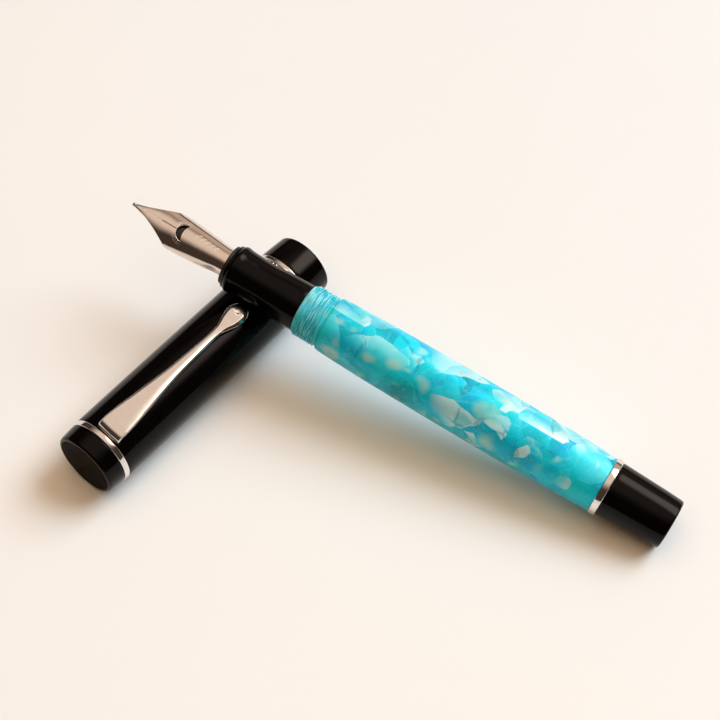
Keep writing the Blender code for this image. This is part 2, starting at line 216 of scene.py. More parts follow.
# ------------------------------------------------------------------ materials
class Nodes:
    """Short hand for building a node tree."""

    def __init__(self, name):
        self.mat = bpy.data.materials.new(name)
        self.mat.use_nodes = True
        self.tree = self.mat.node_tree
        self.shader = self.tree.nodes["Principled BSDF"]
        self.out = self.tree.nodes["Material Output"]

    def new(self, kind, **values):
        node = self.tree.nodes.new(kind)
        for key, value in values.items():
            setattr(node, key, value)
        return node

    def link(self, a, b):
        self.tree.links.new(a, b)

    def feed(self, socket, value):
        if isinstance(value, bpy.types.NodeSocket):
            self.link(value, socket)
        else:
            socket.default_value = value

    def coords(self, scale=1000.0):
        tex = self.new("ShaderNodeTexCoord")
        return self.vmath("SCALE", tex.outputs["Object"], scale=scale)

    def vmath(self, op, a, b=None, scale=None):
        node = self.new("ShaderNodeVectorMath", operation=op)
        self.feed(node.inputs[0], a)
        if b is not None:
            self.feed(node.inputs[1], b)
        if scale is not None:
            self.feed(node.inputs["Scale"], scale)
        return node.outputs["Value"] if op in ("DOT_PRODUCT", "LENGTH", "DISTANCE") else node.outputs["Vector"]

    def math(self, op, a, b=None, c=None, clamp=False):
        node = self.new("ShaderNodeMath", operation=op)
        node.use_clamp = clamp
        self.feed(node.inputs[0], a)
        if b is not None:
            self.feed(node.inputs[1], b)
        if c is not None:
            self.feed(node.inputs[2], c)
        return node.outputs[0]

    def ramp01(self, value, low, high, smooth=True):
        node = self.new("ShaderNodeMapRange")
        node.interpolation_type = "SMOOTHSTEP" if smooth else "LINEAR"
        self.feed(node.inputs["Value"], value)
        self.feed(node.inputs["From Min"], low)
        self.feed(node.inputs["From Max"], high)
        return node.outputs["Result"]

    def remap(self, value, low, high, out_low, out_high):
        node = self.new("ShaderNodeMapRange")
        self.feed(node.inputs["Value"], value)
        for key, v in (("From Min", low), ("From Max", high),
                       ("To Min", out_low), ("To Max", out_high)):
            self.feed(node.inputs[key], v)
        return node.outputs["Result"]

    def noise(self, vector, scale, detail=2.0, rough=0.5, distortion=0.0):
        node = self.new("ShaderNodeTexNoise")
        self.feed(node.inputs["Vector"], vector)
        self.feed(node.inputs["Scale"], scale)
        self.feed(node.inputs["Detail"], detail)
        self.feed(node.inputs["Roughness"], rough)
        self.feed(node.inputs["Distortion"], distortion)
        return node

    def voronoi(self, vector, scale, feature="F1", randomness=1.0, metric="EUCLIDEAN"):
        node = self.new("ShaderNodeTexVoronoi")
        node.feature = feature
        if feature != "DISTANCE_TO_EDGE":
            node.distance = metric
        self.feed(node.inputs["Vector"], vector)
        self.feed(node.inputs["Scale"], scale)
        self.feed(node.inputs["Randomness"], randomness)
        return node

    def mix(self, fac, a, b, blend="MIX"):
        node = self.new("ShaderNodeMix", data_type="RGBA", blend_type=blend)
        self.feed(node.inputs[0], fac)
        self.feed(node.inputs[6], a)
        self.feed(node.inputs[7], b)
        return node.outputs[2]

    def color_ramp(self, value, stops, mode="LINEAR"):
        node = self.new("ShaderNodeValToRGB")
        ramp = node.color_ramp
        ramp.interpolation = mode
        while len(ramp.elements) < len(stops):
            ramp.elements.new(0.5)
        for el, (pos, col) in zip(ramp.elements, stops):
            el.position = pos
            el.color = (*col, 1.0)
        self.feed(node.inputs["Fac"], value)
        return node.outputs["Color"]

    def bump(self, height, strength, distance):
        node = self.new("ShaderNodeBump")
        self.feed(node.inputs["Height"], height)
        node.inputs["Strength"].default_value = strength
        node.inputs["Distance"].default_value = distance
        self.link(node.outputs["Normal"], self.shader.inputs["Normal"])
        return node

    def set(self, **values):
        for key, value in values.items():
            self.feed(self.shader.inputs[key.replace("_", " ")], value)
        return self.mat


def rgb(r, g, b):
    """sRGB 0..255 to a linear colour."""
    def lin(c):
        c /= 255.0
        return c / 12.92 if c <= 0.04045 else ((c + 0.055) / 1.055) ** 2.4
    return (lin(r), lin(g), lin(b))


def black_resin(name="black_resin_look", rough=0.10, level=0.15):
    n = Nodes(name)
    v = n.coords()
    cloud = n.noise(v, 0.35, 3, 0.55).outputs["Fac"]
    fine = n.noise(v, 9.0, 4, 0.6).outputs["Fac"]
    stretched = n.vmath("MULTIPLY", v, (0.5, 14.0, 14.0))
    hair = n.noise(stretched, 1.6, 3, 0.6).outputs["Fac"]
    base = n.mix(cloud, (*rgb(2, 1, 1), 1), (*rgb(6, 4, 4), 1))
    r = n.remap(cloud, 0.25, 0.75, rough * 0.8, rough * 1.35)
    r = n.math("ADD", r, n.remap(hair, 0.5, 0.8, 0.0, 0.05))
    n.bump(n.math("ADD", n.math("MULTIPLY", fine, 0.6), n.math("MULTIPLY", hair, 0.4)), 0.06, 0.00002)
    return n.set(Base_Color=base, Roughness=r, IOR=1.5, Specular_IOR_Level=level)


def metal(name, low, high, rough, streak=0.0, wear=0.05):
    n = Nodes(name)
    v = n.coords()
    cloud = n.noise(v, 0.8, 4, 0.6).outputs["Fac"]
    smear = n.noise(n.vmath("MULTIPLY", v, (1.0, 5.0, 5.0)), 0.9, 4, 0.6).outputs["Fac"]
    brush = n.noise(n.vmath("MULTIPLY", v, (2.0, 40.0, 40.0)), 1.0, 3, 0.6).outputs["Fac"]
    base = n.mix(cloud, (*low, 1), (*high, 1))
    r = n.remap(smear, 0.3, 0.75, rough * 0.6, rough * 1.5 + wear * 0.4)
    n.bump(n.math("ADD", n.math("MULTIPLY", brush, streak), n.math("MULTIPLY", cloud, 0.15)), 0.08, 0.00002)
    return n.set(Base_Color=base, Metallic=1.0, Roughness=r)


def moulding(name, base, rough):
    n = Nodes(name)
    v = n.coords()
    cloud = n.noise(v, 0.6, 3, 0.6).outputs["Fac"]
    grain = n.noise(v, 22.0, 3, 0.6).outputs["Fac"]
    col = n.mix(cloud, (*base, 1), (*[c * 1.7 + 0.004 for c in base], 1))
    n.bump(grain, 0.15, 0.00003)
    return n.set(Base_Color=col, Roughness=n.remap(cloud, 0.3, 0.7, rough * 0.85, rough * 1.2))


def turquoise(name="turquoise_resin_look"):
    """Translucent chips of resin laid over each other, pearly and softly clouded; the paler chips and whiter
    hearts on the upper side are painted sheen.
    """
    n = Nodes(name)
    v0 = n.coords()
    v1 = n.vmath("MULTIPLY", v0, (0.86, 1.0, 1.0))
    warp = n.noise(v1, 0.17, 2, 0.5)
    wv = n.vmath("SUBTRACT", warp.outputs["Color"], (0.5, 0.5, 0.5))
    v = n.vmath("ADD", v1, n.vmath("SCALE", wv, scale=3.4))

    def chips(scale, offset):
        p = n.vmath("ADD", v, offset)
        cell = n.voronoi(p, scale)
        edge = n.voronoi(p, scale, "DISTANCE_TO_EDGE")
        rnd = n.new("ShaderNodeSeparateColor")
        n.link(cell.outputs["Color"], rnd.inputs[0])
        # each chip has its own direction in which it thins out
        local = n.vmath("SUBTRACT", p, cell.outputs["Position"])
        way = n.vmath("SUBTRACT", cell.outputs["Color"], (0.5, 0.5, 0.5))
        tilt = n.math("MULTIPLY", n.vmath("DOT_PRODUCT", local, way), scale)
        return cell, edge.outputs["Distance"], rnd.outputs, tilt

    deep = rgb(0, 140, 160)
    teal = rgb(0, 186, 206)
    cyan = rgb(0, 214, 238)
    azure = rgb(0, 184, 230)
    green = rgb(0, 204, 206)
    aqua = rgb(80, 224, 236)
    pale = rgb(196, 238, 240)
    milk = rgb(238, 250, 248)

    # depth: slow change of tone below all chips
    depth = n.noise(v1, 0.085, 3, 0.5).outputs["Fac"]
    col = n.color_ramp(depth, [(0.30, teal), (0.42, cyan), (0.52, azure), (0.60, green), (0.72, teal)])

    _, edge_a, rnd_a, tilt_a = chips(0.115, (3.1, 7.7, 1.3))
    tone = n.color_ramp(n.math("ADD", rnd_a[0], n.math("MULTIPLY", tilt_a, 0.9)), [
        (0.05, deep), (0.25, teal), (0.45, cyan), (0.60, green), (0.75, cyan), (0.95, aqua)])
    col = n.mix(n.ramp01(tilt_a, -0.22, 0.12), col, tone)

    _, edge_b, rnd_b, tilt_b = chips(0.165, (11.3, 2.9, 5.1))
    tone = n.color_ramp(n.math("ADD", rnd_b[1], n.math("MULTIPLY", tilt_b, 0.8)), [
        (0.0, deep), (0.22, teal), (0.42, azure), (0.60, cyan), (0.80, aqua), (1.0, pale)])
    on = n.math("MULTIPLY", n.ramp01(rnd_b[2], 0.34, 0.36), n.ramp01(tilt_b, -0.16, 0.14))
    col = n.mix(n.math("MULTIPLY", on, 0.85), col, tone)

    # pale pearly chips of the resin, painted mostly on the upper side that faces the light, so they also serve
    # as painted sheen
    sep = n.new("ShaderNodeSeparateXYZ")
    n.link(v0, sep.inputs[0])
    # side is a painted sheen mask: 1 on the upper side that faces the light
    side = n.ramp01(n.math("ADD", n.math("MULTIPLY", sep.outputs["Y"], 0.80),
                           n.math("MULTIPLY", sep.outputs["Z"], 0.60)), 2.6, 6.0)
    _, edge_c, rnd_c, tilt_c = chips(0.125, (27.3, 14.9, 8.1))
    limit = n.remap(side, 0.0, 1.0, 0.90, 0.18)
    chosen = n.ramp01(n.math("SUBTRACT", rnd_c[0], limit), 0.0, 0.02)
    tone = n.mix(n.ramp01(tilt_c, -0.25, 0.25), (*aqua, 1), (*milk, 1))
    tone = n.mix(n.ramp01(rnd_c[1], 0.2, 0.9), tone, (*pale, 1))
    on = n.math("MULTIPLY", chosen, n.ramp01(tilt_c, -0.24, 0.06))
    col = n.mix(n.math("MULTIPLY", on, 0.86), col, tone)

    # round clouded hearts, beige to sea green
    _, _, rnd_d, _ = chips(0.155, (5.7, 21.3, 2.2))
    cell = n.voronoi(n.vmath("ADD", v, (5.7, 21.3, 2.2)), 0.155)
    size = n.remap(rnd_d[1], 0.0, 1.0, 0.26, 0.50)
    inside = n.math("SUBTRACT", size, cell.outputs["Distance"])
    disc = n.math("MULTIPLY", n.ramp01(inside, 0.0, 0.17), n.ramp01(rnd_d[2], 0.18, 0.22))
    heart = n.mix(rnd_d[0], (*rgb(112, 206, 194), 1), (*rgb(214, 230, 206), 1))
    # painted sheen: the hearts are painted whiter on the upper side that faces the light
    heart = n.mix(n.math("MULTIPLY", side, 0.6), heart, (*rgb(226, 242, 234), 1))
    col = n.mix(n.math("MULTIPLY", disc, 0.70), col, heart)

    # smaller cream pips between them
    pips = n.voronoi(n.vmath("ADD", v, (15.2, 4.4, 9.6)), 0.27)
    mark = n.new("ShaderNodeSeparateColor")
    n.link(pips.outputs["Color"], mark.inputs[0])
    inside = n.math("SUBTRACT", n.remap(mark.outputs[1], 0.0, 1.0, 0.22, 0.42), pips.outputs["Distance"])
    on = n.math("MULTIPLY", n.ramp01(inside, 0.0, 0.26), n.ramp01(mark.outputs[0], 0.46, 0.54))
    col = n.mix(n.math("MULTIPLY", on, 0.56), col, (*rgb(182, 228, 214), 1))

    # small flakes with crisp borders lying near the surface
    _, edge_e, rnd_e, tilt_e = chips(0.30, (33.1, 6.4, 17.9))
    tone = n.color_ramp(n.math("ADD", rnd_e[1], n.math("MULTIPLY", tilt_e, 0.7)), [
        (0.0, deep), (0.25, azure), (0.45, cyan), (0.65, green), (0.85, aqua), (1.0, pale)])
    on = n.math("MULTIPLY", n.ramp01(rnd_e[0], 0.62, 0.64), n.ramp01(tilt_e, -0.20, 0.02))
    col = n.mix(n.math("MULTIPLY", on, 0.50), col, tone)
    lip = n.math("MULTIPLY", n.math("SUBTRACT", 1.0, n.ramp01(edge_e, 0.02, 0.07)),
                 n.ramp01(rnd_e[0], 0.62, 0.64))
    col = n.mix(n.math("MULTIPLY", lip, 0.13), col, (*rgb(132, 230, 250), 1))

    # light where two chips overlap, dark where one ends
    wob = n.noise(v1, 0.30, 2, 0.5).outputs["Fac"]
    vein = n.math("MULTIPLY", n.math("SUBTRACT", 1.0, n.ramp01(edge_b, 0.0, 0.030)), n.ramp01(wob, 0.50, 0.60))
    col = n.mix(n.math("MULTIPLY", vein, 0.22), col, (*rgb(150, 232, 250), 1))
    rim = n.math("MULTIPLY", n.math("SUBTRACT", 1.0, n.ramp01(edge_a, 0.0, 0.05)), n.ramp01(wob, 0.52, 0.40))
    col = n.mix(n.math("MULTIPLY", rim, 0.50), col, (*rgb(0, 132, 168), 1))
    wisp = n.noise(n.vmath("ADD", v, (9.0, 2.0, 31.0)), 0.42, 4, 0.62, 1.2).outputs["Fac"]
    col = n.mix(n.math("MULTIPLY", n.ramp01(wisp, 0.56, 0.72), 0.30), col, (*rgb(120, 226, 244), 1))
    dusk = n.noise(n.vmath("ADD", v1, (40.0, 3.0, 9.0)), 0.12, 3, 0.55).outputs["Fac"]
    col = n.mix(n.math("MULTIPLY", n.ramp01(dusk, 0.54, 0.74), 0.40), col, (*deep, 1))
    # the cut thread at the front is painted lighter aqua as a painted highlight, with darker turned streaks,
    # and milky streaks painted brightest on the upper side as painted glints on the ridges
    front = n.ramp01(sep.outputs["X"], 48.0, 45.5)
    col = n.mix(n.math("MULTIPLY", front, n.remap(depth, 0.35, 0.65, 0.05, 0.50)), col, (*rgb(96, 218, 236), 1))
    turned = n.noise(n.vmath("MULTIPLY", v0, (3.3, 0.30, 0.30)), 1.0, 3, 0.6).outputs["Fac"]
    col = n.mix(n.math("MULTIPLY", front, n.math("MULTIPLY", n.ramp01(turned, 0.50, 0.40), 0.60)),
                col, (*rgb(0, 132, 152), 1))
    # painted highlight: milky glints on the thread ridges, strongest on the upper side
    col = n.mix(n.math("MULTIPLY", front, n.math("MULTIPLY", n.ramp01(turned, 0.52, 0.64),
                                                 n.remap(side, 0.0, 1.0, 0.25, 0.85))),
                col, (*milk, 1))
    grit = n.noise(v0, 5.0, 4, 0.7).outputs["Fac"]
    col = n.mix(n.math("MULTIPLY", n.ramp01(grit, 0.50, 0.72), 0.16), col, (*pale, 1))
    fine = n.noise(v0, 2.0, 3, 0.6).outputs["Fac"]
    n.bump(fine, 0.04, 0.00003)
    pearl = n.remap(rnd_c[2], 0.0, 1.0, 0.04, 0.24)
    return n.set(Base_Color=col, Metallic=pearl, Roughness=n.remap(grit, 0.3, 0.7, 0.30, 0.40),
                 IOR=1.50, Specular_IOR_Level=0.12, Coat_Weight=0.15, Coat_Roughness=0.04)


def clear_plastic(name):
    n = Nodes(name)
    v = n.coords()
    cloud = n.noise(v, 0.5, 3, 0.6).outputs["Fac"]
    col = n.mix(cloud, (0.93, 0.96, 0.96, 1), (0.98, 0.99, 0.99, 1))
    n.bump(n.noise(v, 3.0, 2, 0.5).outputs["Fac"], 0.05, 0.00003)
    return n.set(Base_Color=col, Roughness=n.remap(cloud, 0.3, 0.7, 0.03, 0.08),
                 IOR=1.49, Transmission_Weight=0.92)


BLACK = black_resin()
FACE = black_resin("finial_face_look", 0.32, 0.012)
CHROME = metal("chrome_look", (0.80, 0.77, 0.74), (0.90, 0.88, 0.86), 0.06)
BAND = metal("band_look", (0.72, 0.68, 0.64), (0.86, 0.83, 0.80), 0.14, 0.2)
STEEL = metal("nib_steel_look", (0.80, 0.72, 0.66), (0.90, 0.83, 0.77), 0.07, 0.35)
FROST = metal("nib_engraving_look", (0.90, 0.88, 0.85), (0.97, 0.96, 0.94), 0.42)
TIP = metal("tipping_look", (0.55, 0.52, 0.50), (0.72, 0.69, 0.66), 0.28, 0.0, 0.2)
RESIN = turquoise()
MATT = moulding("black_moulding_look", rgb(16, 15, 15), 0.42)
FEED = moulding("feed_look", rgb(12, 11, 11), 0.34)
RUBBER = moulding("seal_look", rgb(20, 20, 20), 0.7)
CLEAR = clear_plastic("clear_tube_look")


# ------------------------------------------------------------------ pen shell
def barrel():
    pitch, start, end = 0.56, 42.0, 46.9
    root, crest = 5.38, 5.72
    outer = []
    x = 41.75
    while x < 47.1:
        outer.append((x, root))
        x += pitch / 10
    n_thread = len(outer)
    body = catmull([(48.2, 5.97), (50.0, 6.06), (53.0, 6.17), (58.0, 6.33), (65.0, 6.41),
                    (78.0, 6.47), (88.0, 6.46), (95.0, 6.40), (101.0, 6.30),
                    (106.0, 6.18), (110.8, 6.02)], 4)
    shoulder = rounded([(47.12, root), (47.28, 5.45, 0.08), (47.55, 5.84, 0.12), (48.2, 5.97)],
                       closed=False)[1:-1]
    front = rounded([(41.32, 4.9), (41.32, 5.12, 0.06), (41.55, 5.36, 0.12), (41.75, root)],
                    closed=False)[:-1]
    rear = [(111.3, 6.0), (111.44, 5.93), (111.46, 5.6), (111.46, 4.9), (76.0, 4.9)]
    loop = front + outer + shoulder + body + rear
    first = len(front)
    last = first + n_thread

    def radial(i, x, r, a):
        if not first <= i < last:
            return r
        phase = (x - start) / pitch - a / (2 * math.pi)
        u = phase - math.floor(phase)
        ridge = max(0.0, 1.0 - abs(u - 0.5) / 0.40)
        ridge = min(1.0, 1.6 * ridge)
        fade = max(0.0, min(1.0, (x - start + 0.25) / 0.4)) * max(0.0, min(1.0, (end - x + 0.15) / 0.4))
        return r + (crest - root) * (3 * ridge ** 2 - 2 * ridge ** 3) * fade

    return lathe("barrel_shell", loop, PEN, RESIN, "pen", ["barrel"],
                 160, radial, 40)


def pen_shell():
    barrel()
    lathe("barrel_ring_bright", rounded([
        (111.46, 4.9), (111.46, 6.25, 0.22), (112.96, 6.25, 0.22), (112.96, 4.9)]),
        PEN, CHROME, "pen", ["barrel_ring"])
    tail = catmull([(113.4, 5.90), (116.0, 5.81), (119.0, 5.70), (123.6, 5.54), (126.2, 5.38)], 5)
    lathe("barrel_end_shell", rounded([(112.98, 4.6), (112.98, 5.84, 0.08)], False)
          + tail + rounded([(126.2, 5.38), (126.95, 5.28, 0.45), (PEN_LENGTH, 4.75, 0.25),
                            (PEN_LENGTH, 4.0)], False)[1:]
          + [(PEN_LENGTH, 2.0), (PEN_LENGTH, 0.0), (121.5, 0.0), (121.5, 3.95),
             (103.6, 3.95), (103.6, 4.4), (103.9, 4.6)],
          PEN, BLACK, "pen", ["barrel_end"], bake=True)


def grip():
    outline = catmull([(25.8, 5.10), (26.6, 4.97), (28.2, 4.89), (30.0, 4.81), (32.0, 4.79),
                       (33.4, 4.87), (35.0, 5.00), (37.0, 5.10), (39.2, 5.16), (40.6, 5.17)], 5)
    front = rounded([(24.06, 4.15), (24.06, 4.70, 0.06), (24.25, 4.80, 0.08), (24.62, 4.82, 0.1),
                     (24.95, 5.10, 0.16), (25.35, 5.16, 0.15), (25.8, 5.10)], False)[:-1]
    rear = rounded([(40.6, 5.17), (41.25, 5.14, 0.12), (41.25, 4.3), (41.7, 4.3)], False)[1:]
    pitch = 0.75
    tenon = []
    x = 42.0
    while x < 49.3:
        tenon.append((x, 4.38))
        x += pitch / 6
    loop = front + outline + rear + tenon + [(49.45, 4.3), (49.7, 4.2), (49.7, 3.95),
                                             (40.3, 3.95), (40.0, 4.15)]
    first = len(front + outline + rear)
    last = first + len(tenon)

    def radial(i, x, r, a):
        if not first <= i < last:
            return r
        phase = x / pitch - a / (2 * math.pi)
        u = phase - math.floor(phase)
        return r + 0.14 * (0.5 - 0.5 * math.cos(2 * math.pi * u)) - 0.02

    lathe("grip_shell", loop, PEN, BLACK, "section", ["grip_section"], 128, radial, 34)


# ------------------------------------------------------------------ nib
NIB_TABLE = [
    (0.80, 2.74, 0.42, 2.62), (1.30, 2.82, 0.55, 2.68), (2.20, 2.93, 0.76, 2.76),
    (3.76, 3.04, 1.25, 2.84), (5.38, 3.12, 1.90, 2.76),
    (6.70, 3.15, 2.48, 2.58), (8.00, 3.18, 3.14, 2.26),
    (9.20, 3.20, 3.72, 1.68), (10.10, 3.21, 4.10, 1.10),
    (10.90, 3.21, 4.20, 0.88), (13.00, 3.21, 4.10, 0.74),
    (16.00, 3.22, 3.88, 0.62), (19.00, 3.22, 3.58, 0.60),
    (22.40, 3.22, 3.23, 0.58), (29.00, 3.22, 3.20, 0.58)]
_nib_cache = {}


def nib_section(t):
    key = round(t, 4)
    if key not in _nib_cache:
        crest, half, edge = table_at(NIB_TABLE, t)
        sag = crest - edge
        radius = (half * half + sag * sag) / (2 * sag)
        centre = crest - radius
        _nib_cache[key] = (radius, centre, math.atan2(half, edge - centre))
    return _nib_cache[key]


def nib_point(t, u, lift=0.0):
    """t along the pen, u is arc length from the middle line, lift outwards."""
    radius, centre, _ = nib_section(t)
    a = u / radius
    r = radius + lift
    return (t, r * math.sin(a), centre + r * math.cos(a))


def half_arc(t):
    radius, _, spread = nib_section(t)
    return radius * spread


def nib():
    t0, t1 = 0.86, 29.0
    cres_t, cres_r = 12.87, 1.97
    inner_t, inner_r = 16.15, 3.86
    slit = 0.05
    ts = [t0 + (t1 - t0) * k / 70 for k in range(71)]
    right = [(t, half_arc(t)) for t in ts]
    outline = list(reversed(right)) if False else []
    # outer edge: right side from the tip to the rear, then the left side back
    outline += right
    outline += [(t, -u) for t, u in reversed(right)]
    # inner edge: up the slit, round the crescent, back down the slit
    half_slit_angle = math.asin(slit / cres_r)
    outer_arc = []
    for k in range(25):
        a = -half_slit_angle - (math.radians(91) - half_slit_angle) * k / 24
        outer_arc.append((cres_t - cres_r * math.cos(a), cres_r * math.sin(a)))
    horn = outer_arc[-1]
    b0 = math.atan2(-horn[1], inner_t - horn[0])
    inner = []
    for k in range(1, 24):
        b = b0 - 2 * b0 * k / 24
        inner.append((inner_t - inner_r * math.cos(b), -inner_r * math.sin(b)))
    outer_back = [(t, -u) for t, u in reversed(outer_arc)]
    slit_left = [(t0 + (outer_arc[0][0] - t0) * k / 20, -slit) for k in range(20)]
    slit_right = [(t, -u) for t, u in reversed(slit_left)]
    outline += slit_left + outer_arc + inner + outer_back + slit_right
    pts = [Vector(p) for p in outline]
    n = len(pts)
    edges = [(i, (i + 1) % n) for i in range(n)]
    poly = np.array(outline)

    def inside(p):
        x, y = p
        hit = False
        j = n - 1
        for i in range(n):
            xi, yi = poly[i]
            xj, yj = poly[j]
            if (yi > y) != (yj > y) and x < (xj - xi) * (y - yi) / (yj - yi) + xi:
                hit = not hit
            j = i
        return hit

    seg_a = poly
    seg_b = np.roll(poly, -1, axis=0)

    def clear_of_edges(p, room):
        p = np.array(p)
        d = seg_b - seg_a
        f = np.clip(((p - seg_a) * d).sum(1) / np.maximum((d * d).sum(1), 1e-12), 0, 1)
        near = seg_a + d * f[:, None]
        return ((near - p) ** 2).sum(1).min() > room * room

    grid = []
    k = 0
    t = t0 + 0.2
    while t < t1 - 0.1:
        half = half_arc(t)
        count = max(3, int(half / 0.26))
        for c in range(-count, count + 1):
            p = (t, half * (c + (0.5 if k % 2 else 0.0)) / (count + 0.5))
            if clear_of_edges(p, 0.11) and inside(p):
                grid.append(Vector(p))
        t += 0.26
        k += 1
    out = delaunay_2d_cdt(pts + grid, edges, [], 0, 1e-6)
    flat, tris = out[0], out[2]
    keep = []
    for tri in tris:
        c = (flat[tri[0]] + flat[tri[1]] + flat[tri[2]]) / 3
        if inside((c.x, c.y)):
            keep.append(list(tri))
    thick = 0.34
    verts, faces = [], []
    m = len(flat)
    for p in flat:
        verts.append(nib_point(p.x, p.y))
    for p in flat:
        # thinner at the tip, as the blank is rolled
        th = thick * (0.62 + 0.38 * min(1.0, max(0.0, (p.x - 1.0) / 8.0)))
        verts.append(nib_point(p.x, p.y, -th))
    count = {}
    for tri in keep:
        for a, b in ((0, 1), (1, 2), (2, 0)):
            e = (tri[a], tri[b])
            count[e] = count.get(e, 0) + 1
    for tri in keep:
        faces.append(tri)
        faces.append([tri[2] + m, tri[1] + m, tri[0] + m])
    rim = []
    for (a, b) in count:
        if (b, a) not in count:
            faces.append([b, a, a + m, b + m])
            rim.append((a, b))
    obj = make("nib_plate", verts, faces, PEN, STEEL, "nib_unit",
               ["nib"], 50, roll=NIB_ROLL)
    bev = obj.modifiers.new("edge", "BEVEL")
    bev.width = 0.00005
    bev.segments = 2
    bev.limit_method = "ANGLE"
    bev.angle_limit = math.radians(55)
    bev.harden_normals = False
    return obj


def ribbon(points, width, lift, verts, faces):
    """Raised engraved line that follows the nib: points are (t, u)."""
    n = len(points)
    base = len(verts)
    for i, (t, u) in enumerate(points):
        a = points[max(0, i - 1)]
        b = points[min(n - 1, i + 1)]
        d = Vector((b[0] - a[0], b[1] - a[1])).normalized()
        s = Vector((-d.y, d.x)) * width / 2
        taper = min(1.0, 0.35 + 3.0 * min(i, n - 1 - i) / n)
        for side, h in ((1, -0.02), (1, lift), (-1, lift), (-1, -0.02)):
            verts.append(nib_point(t + s.x * side * taper, u + s.y * side * taper, h))
    for i in range(n - 1):
        a, b = base + 4 * i, base + 4 * (i + 1)
        for k in range(4):
            j = (k + 1) % 4
            faces.append([a + k, a + j, b + j, b + k])
    faces.append([base, base + 1, base + 2, base + 3])
    faces.append([base + 4 * (n - 1) + k for k in range(4)])


def nib_ornament():
    verts, faces = [], []
    # two arcs behind the crescent
    for r, span in ((2.45, 66), (2.8, 60)):
        for sign in (1, -1):
            pts = []
            for k in range(21):
                a = math.radians(18 + (span + 14) * k / 20)
                pts.append((12.87 - r * math.cos(a) * 1.0, sign * r * math.sin(a)))
            ribbon(pts, 0.10, 0.014, verts, faces)
    # leaves in pairs along the middle, with a stem
    ribbon([(14.3 + 6.6 * k / 20, 0.0) for k in range(21)], 0.09, 0.014, verts, faces)
    for i in range(5):
        t = 15.0 + 1.25 * i
        size = 1.45 - 0.16 * i
        for sign in (1, -1):
            for bow in (0.55, 0.18):
                pts = []
                for k in range(13):
                    f = k / 12
                    pts.append((t + 1.0 * size * f * 0.9 + bow * math.sin(math.pi * f) * -0.5,
                                sign * (size * f + bow * math.sin(math.pi * f) * 0.5)))
                ribbon(pts, 0.085, 0.014, verts, faces)
    # border lines along both edges
    for sign in (1, -1):
        pts = [(t, sign * (half_arc(t) - 0.95)) for t in [11.6 + 11.2 * k / 40 for k in range(41)]]
        ribbon(pts, 0.08, 0.012, verts, faces)
    make("nib_ornament", verts, faces, PEN, FROST, "nib_unit",
         (), 60, merge=False, roll=NIB_ROLL)


def nib_tip():
    verts, faces = [], []
    for sign in (1, -1):
        rows = []
        for i in range(13):
            t = i / 12
            x = 0.02 + 0.98 * t
            r = 0.42 * math.sin(math.pi * min(1.0, (0.10 + 0.82 * t))) ** 0.75
            row = []
            for k in range(13):
                a = math.pi * k / 12
                row.append(len(verts))
                y = sign * (0.03 + max(0.0, r * math.sin(a)))
                verts.append((x, y, 2.58 + r * 1.02 * math.cos(a) + 0.05 * t))
            rows.append(row)
        for a, b in zip(rows, rows[1:]):
            for k in range(13):
                j = (k + 1) % 13
                faces.append([a[k], a[j], b[j], b[k]])
        faces.append(rows[0])
        faces.append(rows[-1])
    make("nib_tip_pellets", verts, faces, PEN, TIP, "nib_unit",
         ["nib_tipping"], 40, roll=NIB_ROLL)


def feed():
    keel = [(7.0, -1.75), (8.2, -0.9), (9.6, 0.2), (11.5, 1.4), (14.0, 2.3),
            (17.0, 2.8), (20.0, 3.0), (22.6, 3.08), (30.2, 3.08)]
    stations = []
    t = 7.0
    while t < 23.0:
        fin = t > 12.2 and t < 22.4
        if fin:
            stations += [(t, 1.0), (t + 0.34, 1.0), (t + 0.35, 0.78), (t + 0.62, 0.78)]
            t += 0.63
        else:
            stations.append((t, 1.0))
            t += 0.4
    stations += [(23.2, 1.0), (26.0, 1.0), (30.2, 1.0)]
    rings = []
    for t, scale in stations:
        depth = table_at(keel, t)[0]
        radius, centre, spread = nib_section(t)
        half = table_at(NIB_TABLE, t)[1]
        limit = min(3.0, half - 0.66)
        a_max = math.asin(min(0.999, limit / (radius - 0.68)))
        upper = [((radius - 0.68) * math.sin(a), centre + (radius - 0.68) * math.cos(a))
                 for a in [-a_max + 2 * a_max * k / 14 for k in range(15)]]
        hx, edge = upper[-1]
        lower = []
        for k in range(1, 24):
            a = math.pi * k / 24
            lower.append((hx * math.cos(a) * (scale if 2 < k < 22 else 1.0),
                          edge - (edge + depth) * math.sin(a) * scale))
        rings.append([(t, -a, b) for a, b in upper + lower])
    loft("feed_comb", rings, PEN, FEED, "nib_unit", ["feed"], 30, roll=NIB_ROLL)


def nib_unit():
    nib()
    nib_ornament()
    nib_tip()
    feed()
    lathe("nib_collar_shell", rounded([
        (23.3, 3.5), (23.3, 4.26, 0.14), (24.0, 4.26, 0.1), (24.0, 3.85), (37.6, 3.85, 0.1),
        (38.0, 3.5), (38.0, 1.9), (43.6, 1.9, 0.1), (44.0, 1.6), (44.0, 0.8), (30.5, 0.8),
        (30.5, 3.5)]), PEN, MATT, "nib_unit", ["nib_collar"], 96)


